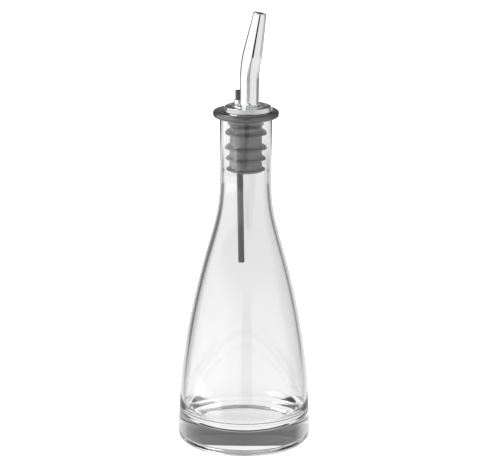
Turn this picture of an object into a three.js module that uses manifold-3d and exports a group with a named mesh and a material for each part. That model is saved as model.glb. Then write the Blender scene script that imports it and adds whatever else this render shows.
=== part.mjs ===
// Glass oil bottle with a steel pourer: a clear bottle on a thick base, a finned
// rubber stopper in its neck, and a bent steel spout with a breather tube beside it.
// Millimetres, +Z up. The origin is the centre of the foot ring, and the spout
// leans towards +X, which is the way the oil runs out.
import * as THREE from 'three';
import { mergeVertices } from 'three/addons/utils/BufferGeometryUtils.js';
import Module from 'manifold-3d';

const wasm = await Module();
wasm.setup();

// ---- Driving dimensions ---------------------------------------------------------

// Bottle, outside
const BOTTLE_HEIGHT = 173.3;
const BODY_R = 34.55;
const HEEL_WIDTH = 3.2;
const HEEL_HEIGHT = 3.6;
const FOOT_RING_WIDTH = 3.4;
const PUNT_DEPTH = 2.3;
const PUNT_EDGE = 2.0;
const SHOULDER_R = 20.1;
const SHOULDER_RISE = 44;
const SHOULDER_LEAN = 15.8;
const BODY_FULLNESS = 19.8;
const SHOULDER_FULLNESS = 46;
const NECK_SWEEP = 20;
const NECK_LENGTH = 27.3;
const LIP_ROUND = 1.0;

// Bottle, inside and its glass
const NECK_BORE_R = 11.2;
const NECK_WALL = 2.05;
const MOUTH_WALL = 2.4;
const BODY_WALL = 2.1;
const FLOOR_THICKNESS = 10.8;
const FLOOR_CURVE_WIDTH = 11.1;
const FLOOR_CURVE_HEIGHT = 11;

// Rubber stopper
const FLANGE_OVERHANG = 3.45;
const FLANGE_THICKNESS = 3.4;
const FLANGE_ROUND = 1.2;
const FIN_REACH = 2.8;
const RUBBER_WALL = 1.6;
const STOPPER_DEPTH = 28.25;
const STOPPER_END_ROUND = 0.8;
const STOPPER_END_LAND = 0.2;
const PLUG_CONE_DEPTH = 6;
const PLUG_CONE_GAP = 0.7;
const FIN_TIP_HALF = 0.35;
const FIN_ROOT_HALF = 0.7;
const FIN_TIP_RISE = 0.25;
const TOP_FIN_LAND = 1.65;
const FIN_SPACING = [0, 0.4, 0.7, 1];
const FIN_TIP_GAPS = [0.2, 0.2, 0.7, 1.1];

// Steel collar and stem
const COLLAR_R = 12.7;
const COLLAR_OFFSET = 1.0;
const COLLAR_HEIGHT = 2.9;
const COLLAR_SKIRT = 2.2;
const COLLAR_TAPER = 0.75;
const COLLAR_SHEET = 0.7;
const PLATEAU_R = 9.0;
const PLATEAU_STEP = 0.25;
const STEM_SHEET = 0.5;
const STEM_END_INSET = 0.6;

// Steel spout
const SPOUT_FOOT_R = 4.85;
const SPOUT_SWELL_R = 5.15;
const SPOUT_TIP_R = 3.42;
const SPOUT_SHEET = 0.6;
const SPOUT_STRAIGHT = 13;
const SPOUT_BEND_R = 60;
const SPOUT_LEAN = 9.8;
const SPOUT_LENGTH = 48.1;
const SPOUT_TAPER_START = 26;
const SPOUT_FLARE = 0.8;
const SPOUT_FLARE_HEIGHT = 1.2;
const SPOUT_FROM_VENT_ANGLE = -34;

// Breather tube and its seat
const VENT_R = 1.65;
const VENT_BORE_R = 0.9;
const VENT_ANGLE = 150;
const VENT_ABOVE_COLLAR = 7.0;
const VENT_BELOW_LIP = 78;
const VENT_LEAN = 1.3;
const SEAT_WALL = 0.55;
const SEAT_HEIGHT = 2.2;

// Clearances between pieces
const RUNNING_GAP = 0.1;
const SEAT_GAP = 0.05;
const CUT_GAP = 0.3;
const SPOUT_VENT_GAP = 0.15;

// Facets
const BOTTLE_SIDES = 48;
const STOPPER_SIDES = 40;
const TUBE_SIDES = 28;
const VENT_SIDES = 12;

// ---- Sizes and levels that the pieces share ----------------------------------------

const WAIST_HEIGHT = BOTTLE_HEIGHT - NECK_LENGTH;
const SHOULDER_HEIGHT = WAIST_HEIGHT - SHOULDER_RISE;
const WAIST_R = NECK_BORE_R + NECK_WALL;
const MOUTH_R = NECK_BORE_R + MOUTH_WALL;
const FLANGE_R = MOUTH_R + FLANGE_OVERHANG;
const FLANGE_UNDER = BOTTLE_HEIGHT + SEAT_GAP;
const FLANGE_TOP = FLANGE_UNDER + FLANGE_THICKNESS;
const STOPPER_END = BOTTLE_HEIGHT - STOPPER_DEPTH;
const CORE_R = NECK_BORE_R - FIN_REACH;
const STOPPER_BORE_R = CORE_R - RUBBER_WALL;
const STEM_R = STOPPER_BORE_R - RUNNING_GAP;
const STEM_BORE_R = STEM_R - STEM_SHEET;
const COLLAR_UNDER = FLANGE_TOP + SEAT_GAP;
const COLLAR_TOP = COLLAR_UNDER + COLLAR_HEIGHT;
const PLATE_UNDER = COLLAR_TOP - COLLAR_SHEET;

// The breather tube runs down inside the stem, close to its wall, and the spout
// stands just clear of it on the other side of the stem.
const VENT_PLACE = polar(STEM_BORE_R - VENT_R - RUNNING_GAP, VENT_ANGLE);
const SPOUT_PLACE = polar(SPOUT_FOOT_R + VENT_R + SPOUT_VENT_GAP, SPOUT_FROM_VENT_ANGLE)
  .add(VENT_PLACE);

// ---- Helpers ----------------------------------------------------------------------

function radians(degrees) {
  return THREE.MathUtils.degToRad(degrees);
}

function at(r, z) {
  return new THREE.Vector2(r, z);
}

// A place in plan, at a distance and an angle from the bottle's axis.
function polar(distance, degrees) {
  return at(distance * Math.cos(radians(degrees)), distance * Math.sin(radians(degrees)));
}

// A quarter round from one point of an outline to the next, bulging to `corner`.
function roundCorner(from, corner, to, steps = 4) {
  const curve = new THREE.QuadraticBezierCurve(from, corner, to);
  return curve.getPoints(steps);
}

// A body of revolution about Z. The outline holds (radius, height) points.
function turned(outline, sides) {
  const geometry = new THREE.LatheGeometry(outline, sides);
  geometry.rotateX(Math.PI / 2);
  return geometry;
}

function closed(outline) {
  return [...outline, outline[0].clone()];
}

// A plain tube or, with no bore, a solid rod about Z.
function tube(outerR, boreR, low, high, sides) {
  if (boreR === 0) {
    return turned([at(0, low), at(outerR, low), at(outerR, high), at(0, high)], sides);
  }
  const outline = [at(boreR, low), at(outerR, low), at(outerR, high), at(boreR, high)];
  return turned(closed(outline), sides);
}

function toManifold(geometry) {
  const bare = geometry.clone();
  bare.deleteAttribute('normal');
  bare.deleteAttribute('uv');
  const welded = mergeVertices(bare, 1e-4);
  const corners = Array.from(welded.index.array);
  const triangles = [];
  for (let i = 0; i < corners.length; i += 3) {
    const [a, b, c] = corners.slice(i, i + 3);
    if (a !== b && b !== c && a !== c) {
      triangles.push(a, b, c);
    }
  }
  return new wasm.Manifold(new wasm.Mesh({
    numProp: 3,
    vertProperties: new Float32Array(welded.attributes.position.array),
    triVerts: new Uint32Array(triangles),
  }));
}

function fromManifold(solid) {
  const mesh = solid.getMesh();
  const geometry = new THREE.BufferGeometry();
  geometry.setAttribute('position', new THREE.BufferAttribute(mesh.vertProperties, 3));
  geometry.setIndex(new THREE.BufferAttribute(mesh.triVerts, 1));
  geometry.computeVertexNormals();
  return geometry;
}

function cut(geometry, ...tools) {
  let solid = toManifold(geometry);
  for (const tool of tools) {
    solid = solid.subtract(toManifold(tool));
  }
  return fromManifold(solid);
}

// ---- Materials ----------------------------------------------------------------------

const clearGlass = () => new THREE.MeshStandardMaterial({
  color: 0xdfe6e3, roughness: 0.03, metalness: 0, transparent: true, opacity: 0.35,
});
const greyRubber = () => new THREE.MeshStandardMaterial({
  color: 0x4a4c4b, roughness: 0.55, metalness: 0,
});
const polishedSteel = () => new THREE.MeshStandardMaterial({
  color: 0xd8dadb, roughness: 0.08, metalness: 1,
});
const blackPlastic = () => new THREE.MeshStandardMaterial({
  color: 0x1b1b1b, roughness: 0.4, metalness: 0,
});

// ---- Bottle -------------------------------------------------------------------------

// Outside of the glass from the top of the heel to the neck's waist: a full curve
// for the body and a hollow one for the shoulder, meeting on one slope.
function bodyCurve() {
  const heelTop = at(BODY_R, HEEL_HEIGHT);
  const shoulder = at(SHOULDER_R, SHOULDER_HEIGHT);
  const waist = at(WAIST_R, WAIST_HEIGHT);
  const slope = at(-Math.sin(radians(SHOULDER_LEAN)), Math.cos(radians(SHOULDER_LEAN)));
  const body = new THREE.CubicBezierCurve(
    heelTop,
    at(BODY_R, HEEL_HEIGHT + BODY_FULLNESS),
    shoulder.clone().addScaledVector(slope, -SHOULDER_FULLNESS),
    shoulder,
  );
  const sweep = new THREE.CubicBezierCurve(
    shoulder,
    shoulder.clone().addScaledVector(slope, NECK_SWEEP),
    at(WAIST_R, WAIST_HEIGHT - NECK_SWEEP),
    waist,
  );
  return [...body.getPoints(12), ...sweep.getPoints(8).slice(1)];
}

function bottleGeometry() {
  const outside = bodyCurve();
  const footR = BODY_R - HEEL_WIDTH;
  const heel = roundCorner(at(footR, 0), at(BODY_R, 0), outside[0]);
  const lipBase = BOTTLE_HEIGHT - LIP_ROUND;
  const outerLip = roundCorner(
    at(MOUTH_R, lipBase), at(MOUTH_R, BOTTLE_HEIGHT), at(MOUTH_R - LIP_ROUND, BOTTLE_HEIGHT), 3);
  const innerLip = roundCorner(
    at(NECK_BORE_R + LIP_ROUND, BOTTLE_HEIGHT), at(NECK_BORE_R, BOTTLE_HEIGHT),
    at(NECK_BORE_R, lipBase), 3);

  // The inside follows the outside at the wall's thickness, down to the floor's curve.
  const curveTop = FLOOR_THICKNESS + FLOOR_CURVE_HEIGHT;
  const inside = outside
    .filter((point) => point.y > curveTop + 1)
    .map((point) => at(Math.max(point.x - BODY_WALL, NECK_BORE_R), point.y))
    .reverse();
  const innerR = inside[inside.length - 1].x;
  const floorR = innerR - FLOOR_CURVE_WIDTH;
  const floorCurve = new THREE.CubicBezierCurve(
    at(innerR, curveTop),
    at(innerR, FLOOR_THICKNESS + FLOOR_CURVE_HEIGHT * 0.45),
    at(floorR + FLOOR_CURVE_WIDTH * 0.45, FLOOR_THICKNESS + FLOOR_CURVE_HEIGHT * 0.145),
    at(floorR, FLOOR_THICKNESS),
  );

  // The underside is a shallow flat hollow with a rounded edge, inside the foot ring.
  const ringR = footR - FOOT_RING_WIDTH;
  const puntEdge = roundCorner(
    at(ringR - PUNT_EDGE, PUNT_DEPTH), at(ringR, PUNT_DEPTH), at(ringR, 0), 3);
  return turned([
    at(0, PUNT_DEPTH),
    ...puntEdge,
    ...heel,
    ...outside.slice(1),
    ...outerLip,
    ...innerLip,
    ...inside,
    ...floorCurve.getPoints(6),
    at(0, FLOOR_THICKNESS),
  ], BOTTLE_SIDES);
}

// ---- Stopper -------------------------------------------------------------------------

function stopperGeometry() {
  const coneEnd = BOTTLE_HEIGHT - PLUG_CONE_DEPTH;
  const topFin = coneEnd - TOP_FIN_LAND - FIN_ROOT_HALF;
  const lowFin = STOPPER_END + STOPPER_END_LAND + FIN_ROOT_HALF;
  const endCorner = roundCorner(
    at(CORE_R - STOPPER_END_ROUND, STOPPER_END), at(CORE_R, STOPPER_END),
    at(CORE_R, STOPPER_END + STOPPER_END_LAND), 2);
  const outline = [at(STOPPER_BORE_R, STOPPER_END), ...endCorner.slice(0, -1)];
  // Four wedge fins from the lowest up, each blunt at its tip.
  for (let i = FIN_SPACING.length - 1; i >= 0; i -= 1) {
    const level = THREE.MathUtils.lerp(topFin, lowFin, FIN_SPACING[i]);
    const tipR = NECK_BORE_R - FIN_TIP_GAPS[i];
    outline.push(
      at(CORE_R, level - FIN_ROOT_HALF),
      at(tipR - FIN_TIP_HALF, level + FIN_TIP_RISE - FIN_TIP_HALF),
      at(tipR, level + FIN_TIP_RISE),
      at(tipR - FIN_TIP_HALF, level + FIN_TIP_RISE + FIN_TIP_HALF),
      at(CORE_R, level + FIN_ROOT_HALF),
    );
  }
  outline.push(
    at(CORE_R, coneEnd),
    at(NECK_BORE_R - PLUG_CONE_GAP, BOTTLE_HEIGHT - LIP_ROUND),
    at(NECK_BORE_R - PLUG_CONE_GAP, FLANGE_UNDER),
    ...roundCorner(
      at(FLANGE_R - FLANGE_ROUND, FLANGE_UNDER), at(FLANGE_R, FLANGE_UNDER),
      at(FLANGE_R, FLANGE_UNDER + FLANGE_ROUND)),
    ...roundCorner(
      at(FLANGE_R, FLANGE_TOP - FLANGE_ROUND), at(FLANGE_R, FLANGE_TOP),
      at(FLANGE_R - FLANGE_ROUND, FLANGE_TOP)),
    at(STOPPER_BORE_R, FLANGE_TOP),
  );
  return turned(closed(outline), STOPPER_SIDES);
}

// ---- Steel insert: collar, stem, spout ---------------------------------------------------

function collarGeometry() {
  const skirtTop = COLLAR_UNDER + COLLAR_SKIRT;
  const ledge = COLLAR_TOP - PLATEAU_STEP;
  const topR = COLLAR_R - COLLAR_TAPER;
  const outline = [
    at(0, PLATE_UNDER),
    at(PLATEAU_R, PLATE_UNDER),
    at(topR - COLLAR_SHEET, skirtTop - COLLAR_SHEET / 2),
    at(COLLAR_R - COLLAR_SHEET, COLLAR_UNDER),
    at(COLLAR_R, COLLAR_UNDER),
    ...roundCorner(at(topR, skirtTop), at(topR, ledge), at(PLATEAU_R + PLATEAU_STEP, ledge), 5),
    at(PLATEAU_R, COLLAR_TOP),
    at(0, COLLAR_TOP),
  ];
  const dome = turned(outline, STOPPER_SIDES);
  dome.translate(COLLAR_OFFSET, 0, 0);
  const spoutHole = tube(SPOUT_FOOT_R - SPOUT_SHEET, 0, COLLAR_UNDER, COLLAR_TOP + 1, TUBE_SIDES);
  spoutHole.translate(SPOUT_PLACE.x, SPOUT_PLACE.y, 0);
  const ventHole = tube(VENT_R + CUT_GAP, 0, COLLAR_UNDER, COLLAR_TOP + 1, VENT_SIDES * 2);
  ventHole.translate(VENT_PLACE.x, VENT_PLACE.y, 0);
  return cut(dome, spoutHole, ventHole);
}

function stemGeometry() {
  const low = STOPPER_END + STEM_END_INSET;
  const high = PLATE_UNDER - SEAT_GAP;
  return tube(STEM_R, STEM_BORE_R, low, high, STOPPER_SIDES);
}

// Outside radius of the spout at a length along it.
function spoutRadius(along) {
  if (along < SPOUT_TAPER_START) {
    return THREE.MathUtils.lerp(SPOUT_FOOT_R, SPOUT_SWELL_R, along / SPOUT_TAPER_START);
  }
  const share = (along - SPOUT_TAPER_START) / (SPOUT_LENGTH - SPOUT_TAPER_START);
  return THREE.MathUtils.lerp(SPOUT_SWELL_R, SPOUT_TIP_R, share);
}

// The spout's centre line: up, round a wide bend towards +X, then straight to the tip.
function spoutLine(along) {
  const bendLength = SPOUT_BEND_R * radians(SPOUT_LEAN);
  const inBend = THREE.MathUtils.clamp(along - SPOUT_STRAIGHT, 0, bendLength);
  const turn = inBend / SPOUT_BEND_R;
  const rest = Math.max(along - SPOUT_STRAIGHT - bendLength, 0);
  return {
    turn,
    x: SPOUT_BEND_R * (1 - Math.cos(turn)) + rest * Math.sin(turn),
    z: Math.min(along, SPOUT_STRAIGHT) + SPOUT_BEND_R * Math.sin(turn) + rest * Math.cos(turn),
  };
}

// Bends a straight body about Z along the spout's centre line.
function bendAlongSpout(geometry) {
  const points = geometry.attributes.position;
  for (let i = 0; i < points.count; i += 1) {
    const line = spoutLine(points.getZ(i));
    const side = points.getX(i);
    points.setX(i, line.x + side * Math.cos(line.turn));
    points.setZ(i, line.z - side * Math.sin(line.turn));
  }
  return geometry;
}

// The straight spout before it is bent, `grow` larger all round for a cutting tool.
function spoutBlank(grow) {
  const outside = [
    at(SPOUT_FOOT_R + SPOUT_FLARE + grow, 0),
    at(SPOUT_FOOT_R + SPOUT_FLARE * 0.3 + grow, SPOUT_FLARE_HEIGHT * 0.4),
    at(SPOUT_FOOT_R + grow, SPOUT_FLARE_HEIGHT),
  ];
  const steps = 14;
  for (let i = 1; i <= steps; i += 1) {
    const along = THREE.MathUtils.lerp(SPOUT_FLARE_HEIGHT, SPOUT_LENGTH, i / steps);
    outside.push(at(spoutRadius(along) + grow, along));
  }
  if (grow > 0) {
    return turned([at(0, 0), ...outside, at(0, SPOUT_LENGTH)], TUBE_SIDES);
  }
  const bore = outside.slice(2).map((point) => at(point.x - SPOUT_SHEET, point.y)).reverse();
  return turned(closed([...outside, ...bore, at(SPOUT_FOOT_R - SPOUT_SHEET, 0)]), TUBE_SIDES);
}

function placeOnCollar(geometry) {
  geometry.translate(SPOUT_PLACE.x, SPOUT_PLACE.y, COLLAR_TOP + SEAT_GAP);
  return geometry;
}

function spoutGeometry() {
  const bent = placeOnCollar(bendAlongSpout(spoutBlank(0)));
  return cut(bent, ventRod(VENT_R + RUNNING_GAP));
}

// ---- Breather tube and seat ------------------------------------------------------------

// Leans a body about the point where the breather tube passes the collar.
function leanAsVent(geometry) {
  geometry.rotateY(-radians(VENT_LEAN));
  geometry.translate(VENT_PLACE.x, VENT_PLACE.y, COLLAR_TOP);
  return geometry;
}

function ventRod(radius) {
  return leanAsVent(tube(radius, 0, -COLLAR_HEIGHT, VENT_ABOVE_COLLAR * 2, VENT_SIDES * 2));
}

function ventGeometry() {
  const low = BOTTLE_HEIGHT - VENT_BELOW_LIP - COLLAR_TOP;
  return leanAsVent(tube(VENT_R, VENT_BORE_R, low, VENT_ABOVE_COLLAR, VENT_SIDES));
}

function ventSeatGeometry() {
  const boreR = VENT_R + RUNNING_GAP;
  const sleeve = tube(boreR + SEAT_WALL, boreR, SEAT_GAP, SEAT_HEIGHT, VENT_SIDES * 2);
  sleeve.translate(VENT_PLACE.x, VENT_PLACE.y, COLLAR_TOP);
  return cut(sleeve, placeOnCollar(bendAlongSpout(spoutBlank(CUT_GAP))));
}

// ---- Assembly ---------------------------------------------------------------------------

function piece(name, geometry, material) {
  const mesh = new THREE.Mesh(geometry, material);
  mesh.name = name;
  return mesh;
}

const pourer = new THREE.Group();
pourer.add(
  piece('collar', collarGeometry(), polishedSteel()),
  piece('stem', stemGeometry(), polishedSteel()),
  piece('spout', spoutGeometry(), polishedSteel()),
  piece('vent_seat', ventSeatGeometry(), polishedSteel()),
  piece('vent_tube', ventGeometry(), blackPlastic()),
);

const oilBottle = new THREE.Group();
oilBottle.add(
  piece('bottle', bottleGeometry(), clearGlass()),
  piece('stopper', stopperGeometry(), greyRubber()),
  pourer,
);

export default oilBottle;
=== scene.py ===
"""A glass oil bottle with a steel pourer, standing on a plain white table.

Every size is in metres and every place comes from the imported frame: +Z is up the
bottle's axis, +X is the way the spout leans.
"""
import math

import bmesh
import bpy
from mathutils import Matrix, Vector


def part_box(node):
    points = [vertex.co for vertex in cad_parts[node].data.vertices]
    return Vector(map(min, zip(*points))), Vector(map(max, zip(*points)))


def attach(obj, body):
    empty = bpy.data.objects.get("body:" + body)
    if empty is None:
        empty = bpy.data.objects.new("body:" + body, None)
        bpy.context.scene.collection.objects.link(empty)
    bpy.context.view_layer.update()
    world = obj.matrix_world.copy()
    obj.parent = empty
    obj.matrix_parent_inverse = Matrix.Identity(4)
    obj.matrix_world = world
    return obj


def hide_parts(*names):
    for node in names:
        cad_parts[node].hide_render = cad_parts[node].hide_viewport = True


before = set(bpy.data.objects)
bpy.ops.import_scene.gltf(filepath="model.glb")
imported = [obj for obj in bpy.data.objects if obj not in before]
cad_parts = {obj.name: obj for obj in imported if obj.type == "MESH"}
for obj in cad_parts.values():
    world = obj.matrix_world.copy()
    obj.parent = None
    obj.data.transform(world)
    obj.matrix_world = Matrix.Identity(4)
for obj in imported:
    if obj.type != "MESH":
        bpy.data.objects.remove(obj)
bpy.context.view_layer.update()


# ---- Table -----------------------------------------------------------------------
# A wide, plain white table top that glows a little, so it stays evenly white. It isn't part of the
# bottle.

def new_object(name, bm):
    mesh = bpy.data.meshes.new(name)
    bm.to_mesh(mesh)
    bm.free()
    obj = bpy.data.objects.new(name, mesh)
    bpy.context.scene.collection.objects.link(obj)
    return obj


def shader_node(material, kind, **settings):
    node = material.node_tree.nodes.new("ShaderNode" + kind)
    for key, value in settings.items():
        if hasattr(node, key):
            setattr(node, key, value)
        else:
            node.inputs[key.replace("_", " ")].default_value = value
    return node


def new_material(name):
    material = bpy.data.materials.new(name)
    material.use_nodes = True
    shader = material.node_tree.nodes["Principled BSDF"]
    return material, shader, material.node_tree.links


table_mesh = bmesh.new()
bmesh.ops.create_circle(table_mesh, cap_ends=True, radius=4.0, segments=96)
table = new_object("table_top", table_mesh)
table_white, shader, links = new_material("table_white")
shader.inputs["Base Color"].default_value = (0.9, 0.9, 0.9, 1)
shader.inputs["Roughness"].default_value = 0.9
shader.inputs["Specular IOR Level"].default_value = 0.0
shader.inputs["Emission Color"].default_value = (1, 1, 1, 1)
shader.inputs["Emission Strength"].default_value = 0.85
table.data.materials.append(table_white)
table.visible_glossy = False
table.visible_transmission = False


# ---- Camera ----------------------------------------------------------------------
# A long lens a little over a metre away, above the bottle and looking down at it.

CAMERA_PLACE = (0.0017, -1.22, 0.43)
CAMERA_PITCH = 14.70
CAMERA_ROLL = 0.41
camera_data = bpy.data.cameras.new("camera")
camera_data.lens = 175.6
camera_data.sensor_width = 36
camera = bpy.data.objects.new("camera", camera_data)
camera.matrix_world = (
    Matrix.Translation(CAMERA_PLACE)
    @ Matrix.Rotation(math.radians(90 - CAMERA_PITCH), 4, "X")
    @ Matrix.Rotation(math.radians(CAMERA_ROLL), 4, "Z")
)
bpy.context.scene.collection.objects.link(camera)
bpy.context.scene.camera = camera


# ---- Light -----------------------------------------------------------------------
# A studio that only glass, steel and rubber see: a white table, a soft light on its
# left, a white card on its right, a dark room behind and a lamp above. Each ring pairs
# a heading with its light: behind (-180), left, the camera (0), right, and behind.

NEAR_RING = (
    (-180, 0.95), (-154, 0.95), (-146, 0.86), (-134, 0.84), (-128, 1.18), (-106, 1.18),
    (-92, 1.18), (-46, 1.18), (-20, 0.95), (90, 0.95), (106, 0.84), (138, 0.80),
    (145, 0.90), (180, 0.95),
)
TABLE_RING = (
    (-180, 0.79), (-154, 0.79), (-148, 0.36), (-133, 0.34), (-127, 1.20), (-106, 1.25),
    (-92, 1.22), (-46, 1.22), (-38, 0.90), (-33, 0.80), (-8, 0.76), (3, 0.78),
    (7, 0.92), (84, 0.92), (98, 0.56), (146, 0.52), (153, 0.79), (180, 0.79),
)
FOOT_RING = (
    (-180, 0.76), (-158, 0.76), (-151, 0.20), (-127, 0.20), (-120, 1.25), (-106, 1.40),
    (-92, 3.20), (-46, 3.20), (-38, 0.70), (-33, 0.42), (-8, 0.34), (3, 0.36),
    (7, 0.92), (84, 0.92), (98, 0.32), (146, 0.24), (153, 0.76), (180, 0.76),
)
TIP_RING = (
    (-180, 0.70), (-164, 0.70), (-157, 0.18), (-124, 0.18), (-116, 1.20), (-106, 1.30),
    (-92, 1.60), (-46, 1.60), (-32, 1.25), (-8, 1.10), (-4, 0.02), (13, 0.02),
    (17, 0.92), (86, 0.92), (100, 0.30), (146, 0.22), (153, 0.70), (180, 0.70),
)
ROOM_RING = (
    (-180, 0.11), (-138, 0.14), (-120, 0.60), (-107, 0.82), (-60, 0.80), (-40, 0.71),
    (-20, 0.58), (20, 0.54), (40, 0.62), (70, 0.70), (110, 0.72), (130, 0.25),
    (150, 0.12), (180, 0.11),
)
LAMP_RING = (
    (-180, 0.30), (-125, 0.30), (-112, 4.50), (-76, 4.50), (-62, 0.45), (110, 0.45), (180, 0.30),
)
BRIGHTEST = 5.0
LIGHT_FROM_BELOW = 0.95
LIGHT_OVERHEAD = 0.6
BACKDROP_LIGHT = 1.05


def world_node(kind, **settings):
    node = world.node_tree.nodes.new("ShaderNode" + kind)
    for key, value in settings.items():
        setattr(node, key, value)
    return node


def world_sum(operation, first, second):
    node = world_node("Math", operation=operation)
    for socket, value in zip(node.inputs, (first, second)):
        if isinstance(value, bpy.types.NodeSocket):
            links.new(value, socket)
        else:
            socket.default_value = value
    return node.outputs[0]


def world_ramp(source, low, high, stops):
    """The light along source, an angle in degrees from low to high."""
    place = world_sum("DIVIDE", world_sum("SUBTRACT", source, low), high - low)
    node = world_node("ValToRGB")
    ramp = node.color_ramp
    while len(ramp.elements) < len(stops):
        ramp.elements.new(0.5)
    for element, (angle, light) in zip(ramp.elements, stops):
        element.position = (angle - low) / (high - low)
        element.color = (light / BRIGHTEST,) * 3 + (1,)
    links.new(place, node.inputs[0])
    return world_sum("MULTIPLY", node.outputs[0], BRIGHTEST)


def world_mix(source, low, high, first, second):
    """first below the angle low, second above the angle high."""
    share = world_node("MapRange", interpolation_type="SMOOTHSTEP")
    share.inputs["From Min"].default_value = low
    share.inputs["From Max"].default_value = high
    links.new(source, share.inputs["Value"])
    blend = world_node("Mix")
    links.new(share.outputs[0], blend.inputs["Factor"])
    for socket, value in ((blend.inputs["A"], first), (blend.inputs["B"], second)):
        if isinstance(value, bpy.types.NodeSocket):
            links.new(value, socket)
        else:
            socket.default_value = value
    return blend.outputs[0]


world = bpy.data.worlds.new("studio")
world.use_nodes = True
bpy.context.scene.world = world
links = world.node_tree.links
background = world.node_tree.nodes["Background"]
background.inputs["Color"].default_value = (1, 1, 1, 1)
direction = world_node("TexCoord")
axes = world_node("SeparateXYZ")
links.new(direction.outputs["Generated"], axes.inputs[0])
forward = world_sum("MULTIPLY", axes.outputs["Y"], -1)
round_angle = world_sum("ARCTAN2", axes.outputs["X"], forward)
around = world_sum("MULTIPLY", round_angle, math.degrees(1))
up_angle = world_sum("ARCSINE", axes.outputs["Z"], 0)
upward = world_sum("MULTIPLY", up_angle, math.degrees(1))
by_height = LIGHT_FROM_BELOW
for low, high, stops in (
    (-28, -19, NEAR_RING),
    (-18.5, -13.8, TABLE_RING),
    (-13.3, -12.8, FOOT_RING),
    (-11.5, -8.5, TIP_RING),
    (6, 13, ROOM_RING),
    (34, 40, LAMP_RING),
):
    by_height = world_mix(upward, low, high, by_height, world_ramp(around, -180, 180, stops))
seen_light = world_mix(upward, 58, 66, by_height, LIGHT_OVERHEAD)
rays = world_node("LightPath")
shown = world_node("Mix")
shown.inputs["B"].default_value = BACKDROP_LIGHT
links.new(rays.outputs["Is Camera Ray"], shown.inputs["Factor"])
links.new(seen_light, shown.inputs["A"])
links.new(shown.outputs[0], background.inputs["Strength"])
bpy.context.scene.view_settings.view_transform = "Standard"
bpy.context.scene.cycles.use_denoising = True
bpy.context.scene.cycles.max_bounces = 24
bpy.context.scene.cycles.transmission_bounces = 24
bpy.context.scene.cycles.transparent_max_bounces = 24


# ---- Glass bottle ----------------------------------------------------------------
# One moulded piece of clear soda-lime glass: a thick base with a hollow underside,
# a full body that sweeps into a slim neck, and a lip rounded in the flame.

MM = 0.001
SHARP_TURN = math.radians(35)


def arc(centre, radii, start, end, steps):
    """Points of an elliptical arc in the X-Z plane, angles in degrees from +X."""
    turns = [math.radians(start + (end - start) * i / steps) for i in range(steps + 1)]
    return [
        (centre[0] + radii[0] * math.cos(t), centre[1] + radii[1] * math.sin(t))
        for t in turns
    ]


def sweep(p0, p1, p2, p3, steps):
    """Points of a cubic curve from p0 to p3, led by p1 and p2."""
    points = []
    for i in range(steps + 1):
        t = i / steps
        a, b, c, d = (1 - t) ** 3, 3 * t * (1 - t) ** 2, 3 * t * t * (1 - t), t**3
        points.append(tuple(a * p0[k] + b * p1[k] + c * p2[k] + d * p3[k] for k in (0, 1)))
    return points


def smooth_shading(bm):
    """Smooth faces, with a crisp line where the surface turns sharply."""
    for face in bm.faces:
        face.smooth = True
    for edge in bm.edges:
        edge.smooth = edge.calc_face_angle(0) < SHARP_TURN


def spun(name, outline, turns, closed=False, centre=(0, 0)):
    """A body of revolution about the upright line through centre, smooth shaded."""
    bm = bmesh.new()
    verts = [bm.verts.new((r, 0, z)) for r, z in outline]
    edges = [bm.edges.new(pair) for pair in zip(verts, verts[1:])]
    if closed:
        edges.append(bm.edges.new((verts[-1], verts[0])))
    bmesh.ops.spin(
        bm, geom=verts + edges, cent=(0, 0, 0), axis=(0, 0, 1),
        angle=math.tau, steps=turns, use_merge=True,
    )
    bmesh.ops.remove_doubles(bm, verts=bm.verts, dist=1e-7)
    bmesh.ops.translate(bm, verts=bm.verts, vec=(centre[0], centre[1], 0))
    bmesh.ops.recalc_face_normals(bm, faces=bm.faces)
    smooth_shading(bm)
    return new_object(name, bm)


glass_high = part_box("bottle")[1]
BODY_R = glass_high.x
LIP_Z = glass_high.z
HEEL = (3.2 * MM, 3.6 * MM)
RING_WIDTH = 3.4 * MM
PUNT = 2.3 * MM
PUNT_EDGE = 2.0 * MM
WAIST_Z = LIP_Z - 27.3 * MM
SHOULDER_Z = WAIST_Z - 44 * MM
SHOULDER_R = 20.1 * MM
SHOULDER_LEAN = math.radians(15.8)
BODY_FULLNESS = 19.8 * MM
SHOULDER_FULLNESS = 46 * MM
NECK_SWEEP = 20 * MM
BORE_R = 11.2 * MM
NECK_WALL = 2.05 * MM
LIP_WALL = 2.4 * MM
BODY_WALL = 2.1 * MM
FLOOR_Z = 10.8 * MM
FLOOR_CURVE = (11.1 * MM, 11 * MM)
FLOOR_FULLNESS = 0.45
FLOOR_LIFT = 0.145
FLAT_EDGE = 0.5 * MM
LIP_ROUND = 1.0 * MM

slope = Vector((-math.sin(SHOULDER_LEAN), math.cos(SHOULDER_LEAN)))
shoulder = Vector((SHOULDER_R, SHOULDER_Z))
waist_r = BORE_R + NECK_WALL
body_side = sweep(
    (BODY_R, HEEL[1]), (BODY_R, HEEL[1] + BODY_FULLNESS),
    shoulder - slope * SHOULDER_FULLNESS, shoulder, 40,
)
neck_side = sweep(
    shoulder, shoulder + slope * NECK_SWEEP,
    (waist_r, WAIST_Z - NECK_SWEEP), (waist_r, WAIST_Z), 28,
)
outside = body_side + neck_side[1:]
lip_r = BORE_R + LIP_WALL
lip = arc((lip_r - LIP_ROUND, LIP_Z - LIP_ROUND), (LIP_ROUND, LIP_ROUND), 0, 90, 8)
lip += arc((BORE_R + LIP_ROUND, LIP_Z - LIP_ROUND), (LIP_ROUND, LIP_ROUND), 90, 180, 8)
curve_top = FLOOR_Z + FLOOR_CURVE[1]
inside = [
    (max(r - BODY_WALL, BORE_R), z) for r, z in reversed(outside) if z > curve_top + 1 * MM
]
inner_r = inside[-1][0]
floor_r = inner_r - FLOOR_CURVE[0]
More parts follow.
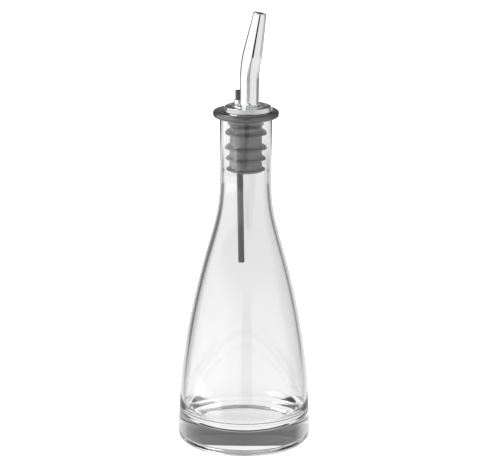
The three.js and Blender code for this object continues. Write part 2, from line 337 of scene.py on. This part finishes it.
floor_curve = sweep(
    (inner_r, curve_top),
    (inner_r, FLOOR_Z + FLOOR_CURVE[1] * FLOOR_FULLNESS),
    (floor_r + FLOOR_CURVE[0] * FLOOR_FULLNESS, FLOOR_Z + FLOOR_CURVE[1] * FLOOR_LIFT),
    (floor_r, FLOOR_Z),
    24,
)
foot_r = BODY_R - HEEL[0]
punt_r = foot_r - RING_WIDTH
punt_curve = [(0, PUNT), (punt_r - PUNT_EDGE - FLAT_EDGE, PUNT)]
punt_curve += arc((punt_r - PUNT_EDGE, 0), (PUNT_EDGE, PUNT), 90, 0, 8)
heel_curve = arc((foot_r, HEEL[1]), HEEL, -90, 0, 12)
floor = [(floor_r - FLAT_EDGE, FLOOR_Z), (0, FLOOR_Z)]
glass = spun(
    "glass_bottle",
    punt_curve + heel_curve + outside[1:] + lip + inside + floor_curve + floor,
    160,
)

clear_glass, shader, links = new_material("clear_glass")
shader.inputs["Base Color"].default_value = (0.978, 0.981, 0.978, 1)
shader.inputs["Transmission Weight"].default_value = 1.0
shader.inputs["Roughness"].default_value = 0.0
shader.inputs["IOR"].default_value = 1.5
glass_place = shader_node(clear_glass, "TexCoord")
ripple = shader_node(clear_glass, "TexNoise", Scale=55.0, Detail=1.0)
ripple_bump = shader_node(clear_glass, "Bump", Strength=0.02, Distance=0.001)
links.new(glass_place.outputs["Object"], ripple.inputs["Vector"])
links.new(ripple.outputs["Fac"], ripple_bump.inputs["Height"])
links.new(ripple_bump.outputs["Normal"], shader.inputs["Normal"])
lets_light_by = shader_node(clear_glass, "BsdfTransparent")
either = shader_node(clear_glass, "MixShader")
ray_kind = shader_node(clear_glass, "LightPath")
glass_out = clear_glass.node_tree.nodes["Material Output"]
links.new(ray_kind.outputs["Is Shadow Ray"], either.inputs[0])
links.new(shader.outputs[0], either.inputs[1])
links.new(lets_light_by.outputs[0], either.inputs[2])
links.new(either.outputs[0], glass_out.inputs["Surface"])
glass.data.materials.append(clear_glass)
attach(glass, "bottle")
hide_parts("bottle")


# ---- Rubber stopper ----------------------------------------------------------------
# One dark grey rubber moulding: a round-edged flange that rests on the lip, a short
# cone into the mouth, and a core with four soft fins that seal against the bore.

flange_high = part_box("stopper")[1]
SEAT_GAP = 0.05 * MM
FLANGE_R = flange_high.x
FLANGE_UNDER = LIP_Z + SEAT_GAP
FLANGE_TOP = flange_high.z
STOPPER_END = LIP_Z - 28.25 * MM
CORE_R = BORE_R - 2.8 * MM
CONE_R = BORE_R - 0.7 * MM
CONE_END = LIP_Z - 6 * MM
RUBBER_WALL = 1.6 * MM
STOPPER_BORE = CORE_R - RUBBER_WALL
FIN_ROOT = 0.7 * MM
FIN_ROUND = 0.3 * MM
FIN_RISE = 0.25 * MM
ROOT_FLARE = 0.25 * MM
TOP_FIN_LAND = 1.65 * MM
END_LAND = 0.2 * MM
END_ROUND = 0.8 * MM
FLANGE_ROUND = 1.2 * MM
top_fin = CONE_END - TOP_FIN_LAND - FIN_ROOT
low_fin = STOPPER_END + END_LAND + FIN_ROOT
stopper_side = [(STOPPER_BORE, STOPPER_END)]
stopper_side += arc((CORE_R - END_ROUND, STOPPER_END + END_LAND), (END_ROUND, END_LAND), -90, 0, 4)
for share, tip_gap in ((1, 1.1), (0.7, 0.7), (0.4, 0.2), (0, 0.2)):
    level = top_fin + (low_fin - top_fin) * share
    tip = (BORE_R - tip_gap * MM - FIN_ROUND, level + FIN_RISE)
    root_r = CORE_R + ROOT_FLARE
    stopper_side += [(CORE_R, level - FIN_ROOT - ROOT_FLARE), (root_r, level - FIN_ROOT * 0.85)]
    stopper_side += arc(tip, (FIN_ROUND, FIN_ROUND), -75, 75, 6)
    stopper_side += [(root_r, level + FIN_ROOT * 0.85), (CORE_R, level + FIN_ROOT + ROOT_FLARE)]
stopper_side += sweep(
    (CORE_R, CONE_END), (CORE_R, CONE_END + 2 * MM),
    (CONE_R, LIP_Z - 3 * MM), (CONE_R, LIP_Z - 0.5 * MM), 8,
)
stopper_side += [(CONE_R, FLANGE_UNDER)]
flange_round = (FLANGE_ROUND, FLANGE_ROUND)
stopper_side += arc((FLANGE_R - FLANGE_ROUND, FLANGE_UNDER + FLANGE_ROUND), flange_round, -90, 0, 8)
stopper_side += arc((FLANGE_R - FLANGE_ROUND, FLANGE_TOP - FLANGE_ROUND), flange_round, 0, 90, 8)
stopper_side += [(STOPPER_BORE, FLANGE_TOP)]
stopper = spun("rubber_stopper", stopper_side, 128, closed=True)

grey_rubber, shader, links = new_material("grey_rubber")
shader.inputs["Roughness"].default_value = 0.25
shader.inputs["IOR"].default_value = 1.8
shader.inputs["Specular IOR Level"].default_value = 0.8
rubber_place = shader_node(grey_rubber, "TexCoord")
mottle = shader_node(grey_rubber, "TexNoise", Scale=260.0, Detail=4.0)
rubber_tone = shader_node(grey_rubber, "ValToRGB")
rubber_tone.color_ramp.elements[0].color = (0.014, 0.015, 0.0145, 1)
rubber_tone.color_ramp.elements[1].color = (0.026, 0.028, 0.027, 1)
grain = shader_node(grey_rubber, "TexNoise", Scale=2600.0, Detail=2.0)
grain_bump = shader_node(grey_rubber, "Bump", Strength=0.05, Distance=0.0002)
links.new(rubber_place.outputs["Object"], mottle.inputs["Vector"])
links.new(rubber_place.outputs["Object"], grain.inputs["Vector"])
links.new(mottle.outputs["Fac"], rubber_tone.inputs[0])
links.new(rubber_tone.outputs[0], shader.inputs["Base Color"])
links.new(grain.outputs["Fac"], grain_bump.inputs["Height"])
links.new(grain_bump.outputs["Normal"], shader.inputs["Normal"])
stopper.data.materials.append(grey_rubber)
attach(stopper, "stopper")
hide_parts("stopper")


# ---- Steel collar ------------------------------------------------------------------
# A dish pressed from polished stainless sheet. Its skirt lies on the flange, a fine
# step marks its flat top, and the spout and the breather tube stand on it.

collar_low, collar_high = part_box("collar")
COLLAR_X = (collar_low.x + collar_high.x) / 2
COLLAR_R = (collar_high.x - collar_low.x) / 2
COLLAR_UNDER = collar_low.z
COLLAR_TOP = collar_high.z
SHEET = 0.7 * MM
TOP_R = 9.0 * MM
STEP = 0.25 * MM
TAPER = 0.75 * MM
RIM = 0.15 * MM
skirt_top = COLLAR_UNDER + 2.2 * MM
top_r = COLLAR_R - TAPER
ledge = COLLAR_TOP - STEP
plate_r = TOP_R - RIM
collar_side = [(plate_r, COLLAR_TOP - SHEET), (top_r - SHEET, skirt_top - SHEET / 2)]
collar_side += [(COLLAR_R - SHEET, COLLAR_UNDER + RIM), (COLLAR_R - SHEET, COLLAR_UNDER)]
collar_side += arc((COLLAR_R - RIM, COLLAR_UNDER + RIM), (RIM, RIM), -90, 10, 4)
skirt_rise = skirt_top - COLLAR_UNDER - RIM
for share in (0.12, 0.9):
    collar_side += [(COLLAR_R - TAPER * share, COLLAR_UNDER + RIM + skirt_rise * share)]
collar_side += sweep(
    (top_r, skirt_top), (top_r - 0.06 * MM, skirt_top + 0.2 * MM),
    (top_r - 0.9 * MM, ledge), (TOP_R + STEP, ledge), 12,
)
collar_side += arc((TOP_R + STEP, COLLAR_TOP), (STEP, STEP), -90, -180, 4)[1:]
collar_side += [(plate_r, COLLAR_TOP)]
collar = spun("steel_collar", collar_side, 160, closed=True, centre=(COLLAR_X, 0))

VENT_R = 1.65 * MM
STEM_GAP = 0.1 * MM
STEM_WALL = 0.5 * MM
STEM_BORE = STOPPER_BORE - STEM_GAP - STEM_WALL
FOOT_R = 4.85 * MM
SPOUT_WALL = 0.6 * MM
VENT_HOLE_GAP = 0.3 * MM
vent_turn = math.radians(150)
vent_distance = STEM_BORE - VENT_R - STEM_GAP
VENT_PLACE = Vector((
    vent_distance * math.cos(vent_turn),
    vent_distance * math.sin(vent_turn),
    COLLAR_TOP,
))
away = math.radians(-34)
spout_gap = FOOT_R + VENT_R + 0.15 * MM
SPOUT_PLACE = Vector((
    VENT_PLACE.x + spout_gap * math.cos(away),
    VENT_PLACE.y + spout_gap * math.sin(away),
    COLLAR_TOP + SEAT_GAP,
))
plate = bmesh.new()
for place, radius, corners in (
    (Vector((COLLAR_X, 0, 0)), plate_r, 160),
    (SPOUT_PLACE, FOOT_R - SPOUT_WALL, 64),
    (VENT_PLACE, VENT_R + VENT_HOLE_GAP, 40),
):
    bmesh.ops.create_circle(
        plate, radius=radius, segments=corners,
        matrix=Matrix.Translation((place.x, place.y, COLLAR_TOP)),
    )
bmesh.ops.triangle_fill(plate, edges=plate.edges[:], use_beauty=True, normal=(0, 0, 1))
sheet = bmesh.ops.extrude_face_region(plate, geom=plate.faces[:])
lower = [item for item in sheet["geom"] if isinstance(item, bmesh.types.BMVert)]
bmesh.ops.translate(plate, verts=lower, vec=(0, 0, -SHEET))
bmesh.ops.recalc_face_normals(plate, faces=plate.faces)
plate.from_mesh(collar.data)
plate.to_mesh(collar.data)
plate.free()

polished_steel, shader, links = new_material("polished_steel")
shader.inputs["Base Color"].default_value = (0.86, 0.865, 0.87, 1)
shader.inputs["Metallic"].default_value = 1.0
steel_place = shader_node(polished_steel, "TexCoord")
smear = shader_node(polished_steel, "TexNoise", Scale=180.0, Detail=5.0)
steel_gloss = shader_node(polished_steel, "MapRange", To_Min=0.04, To_Max=0.12)
links.new(steel_place.outputs["Object"], smear.inputs["Vector"])
links.new(smear.outputs["Fac"], steel_gloss.inputs["Value"])
links.new(steel_gloss.outputs[0], shader.inputs["Roughness"])
collar.data.materials.append(polished_steel)
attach(collar, "pourer")
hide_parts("collar")


# ---- Steel stem --------------------------------------------------------------------
# A straight tube brazed under the collar. It fills the stopper's bore, and the oil
# comes up inside it, round the breather tube.

stem_low, stem_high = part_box("stem")
STEM_R = stem_high.x
stem_side = [
    (STEM_BORE, stem_low.z), (STEM_R, stem_low.z), (STEM_R, stem_high.z), (STEM_BORE, stem_high.z),
]
stem = spun("steel_stem", stem_side, 128, closed=True)
stem.data.materials.append(polished_steel)
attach(stem, "pourer")
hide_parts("stem")


# ---- Breather tube ------------------------------------------------------------------
# A length of thin black plastic tube, cut square at both ends. Air goes down it into
# the bottle as the oil runs out.

VENT_BORE = 0.9 * MM
VENT_LEAN = math.radians(1.3)
TUBE_ABOVE_COLLAR = 7.0 * MM
TUBE_BELOW_LIP = 78 * MM
CUT_EDGE = 0.12 * MM
tube_top = TUBE_ABOVE_COLLAR - CUT_EDGE
tube_end = LIP_Z - COLLAR_TOP - TUBE_BELOW_LIP + CUT_EDGE
cut_edge = (CUT_EDGE, CUT_EDGE)
vent_side = arc((VENT_R - CUT_EDGE, tube_end), cut_edge, -90, 0, 3)
vent_side += arc((VENT_R - CUT_EDGE, tube_top), cut_edge, 0, 90, 3)
vent_side += arc((VENT_BORE + CUT_EDGE, tube_top), cut_edge, 90, 180, 3)
vent_side += arc((VENT_BORE + CUT_EDGE, tube_end), cut_edge, 180, 270, 3)
vent = spun("breather_tube", vent_side, 48, closed=True)
vent.data.transform(Matrix.Translation(VENT_PLACE) @ Matrix.Rotation(-VENT_LEAN, 4, "Y"))

black_plastic, shader, links = new_material("black_plastic")
shader.inputs["Roughness"].default_value = 0.38
shader.inputs["Specular IOR Level"].default_value = 1.0
plastic_place = shader_node(black_plastic, "TexCoord")
plastic_map = shader_node(black_plastic, "Mapping")
plastic_map.inputs["Scale"].default_value = (1, 1, 0.02)
draw_lines = shader_node(black_plastic, "TexNoise", Scale=2500.0, Detail=3.0)
plastic_tone = shader_node(black_plastic, "ValToRGB")
plastic_tone.color_ramp.elements[0].color = (0.012, 0.012, 0.013, 1)
plastic_tone.color_ramp.elements[1].color = (0.035, 0.035, 0.036, 1)
draw_bump = shader_node(black_plastic, "Bump", Strength=0.1, Distance=0.0001)
links.new(plastic_place.outputs["Object"], plastic_map.inputs["Vector"])
links.new(plastic_map.outputs[0], draw_lines.inputs["Vector"])
links.new(draw_lines.outputs["Fac"], plastic_tone.inputs[0])
links.new(plastic_tone.outputs[0], shader.inputs["Base Color"])
links.new(draw_lines.outputs["Fac"], draw_bump.inputs["Height"])
links.new(draw_bump.outputs["Normal"], shader.inputs["Normal"])
vent.data.materials.append(black_plastic)
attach(vent, "pourer")
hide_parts("vent_tube")


# ---- Steel spout ---------------------------------------------------------------------
# A stainless tube drawn to a taper and bent near its foot, with a rolled tip. Its
# flared foot is brazed on the collar, round the hole that the oil comes up through.

SWELL_R = 5.15 * MM
TIP_R = 3.42 * MM
SPOUT_LENGTH = 48.1 * MM
TAPER_START = 26 * MM
STRAIGHT = 13 * MM
BEND_R = 60 * MM
SPOUT_LEAN = math.radians(9.8)
FLARE = 0.8 * MM
FLARE_HEIGHT = 1.2 * MM


def spout_radius(along):
    if along < TAPER_START:
        return FOOT_R + (SWELL_R - FOOT_R) * along / TAPER_START
    return SWELL_R + (TIP_R - SWELL_R) * (along - TAPER_START) / (SPOUT_LENGTH - TAPER_START)


flare_steps = 6
spout_out = arc(
    (FOOT_R + FLARE, FLARE_HEIGHT), (FLARE, FLARE_HEIGHT), -90, -180, flare_steps
)
tube_steps = 44
for i in range(1, tube_steps):
    along = FLARE_HEIGHT + (SPOUT_LENGTH - FLARE_HEIGHT) * i / tube_steps
    spout_out.append((spout_radius(along), along))
half_wall = SPOUT_WALL / 2
tip_centre = (TIP_R - half_wall, SPOUT_LENGTH - half_wall)
spout_rim = arc(tip_centre, (half_wall, half_wall), 0, 180, 8)
spout_bore = [(r - SPOUT_WALL, z) for r, z in reversed(spout_out[flare_steps + 1:])]
spout = spun(
    "steel_spout",
    spout_out + spout_rim + spout_bore + [(FOOT_R - SPOUT_WALL, 0)],
    96,
    closed=True,
)
bend_length = BEND_R * SPOUT_LEAN
for vert in spout.data.vertices:
    side, along = vert.co.x, vert.co.z
    turned = min(max(along - STRAIGHT, 0), bend_length) / BEND_R
    rest = max(along - STRAIGHT - bend_length, 0)
    line_x = BEND_R * (1 - math.cos(turned)) + rest * math.sin(turned)
    line_z = min(along, STRAIGHT) + BEND_R * math.sin(turned) + rest * math.cos(turned)
    vert.co.x = line_x + side * math.cos(turned)
    vert.co.z = line_z - side * math.sin(turned)
spout.data.transform(Matrix.Translation(SPOUT_PLACE))
spout.data.materials.append(polished_steel)
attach(spout, "pourer")
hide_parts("spout")


# ---- Breather seat ---------------------------------------------------------------------
# A short steel sleeve brazed against the spout's foot. The breather tube is pushed
# through it.

SEAT_BORE = VENT_R + 0.1 * MM
SEAT_R = SEAT_BORE + 0.55 * MM
SEAT_TOP = COLLAR_TOP + 2.2 * MM
SEAT_ROUND = 0.2 * MM
OPEN_HALF = math.radians(46)
seat_foot = COLLAR_TOP + SEAT_GAP
seat_mesh = bmesh.new()
seat_profile = [(SEAT_BORE, seat_foot), (SEAT_R, seat_foot)]
seat_profile += arc(
    (SEAT_R - SEAT_ROUND, SEAT_TOP - SEAT_ROUND), (SEAT_ROUND, SEAT_ROUND), 0, 90, 4
)
seat_profile += [(SEAT_BORE, SEAT_TOP)]
ring_verts = [seat_mesh.verts.new((r, 0, z)) for r, z in seat_profile]
section = seat_mesh.faces.new(ring_verts)
bmesh.ops.rotate(seat_mesh, verts=seat_mesh.verts, matrix=Matrix.Rotation(away + OPEN_HALF, 3, "Z"))
bmesh.ops.spin(
    seat_mesh, geom=[section], cent=(0, 0, 0), axis=(0, 0, 1),
    angle=math.tau - 2 * OPEN_HALF, steps=40, use_merge=False,
)
bmesh.ops.recalc_face_normals(seat_mesh, faces=seat_mesh.faces)
bmesh.ops.translate(seat_mesh, verts=seat_mesh.verts, vec=(VENT_PLACE.x, VENT_PLACE.y, 0))
smooth_shading(seat_mesh)
seat = new_object("breather_seat", seat_mesh)
seat.data.materials.append(polished_steel)
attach(seat, "pourer")
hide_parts("vent_seat")
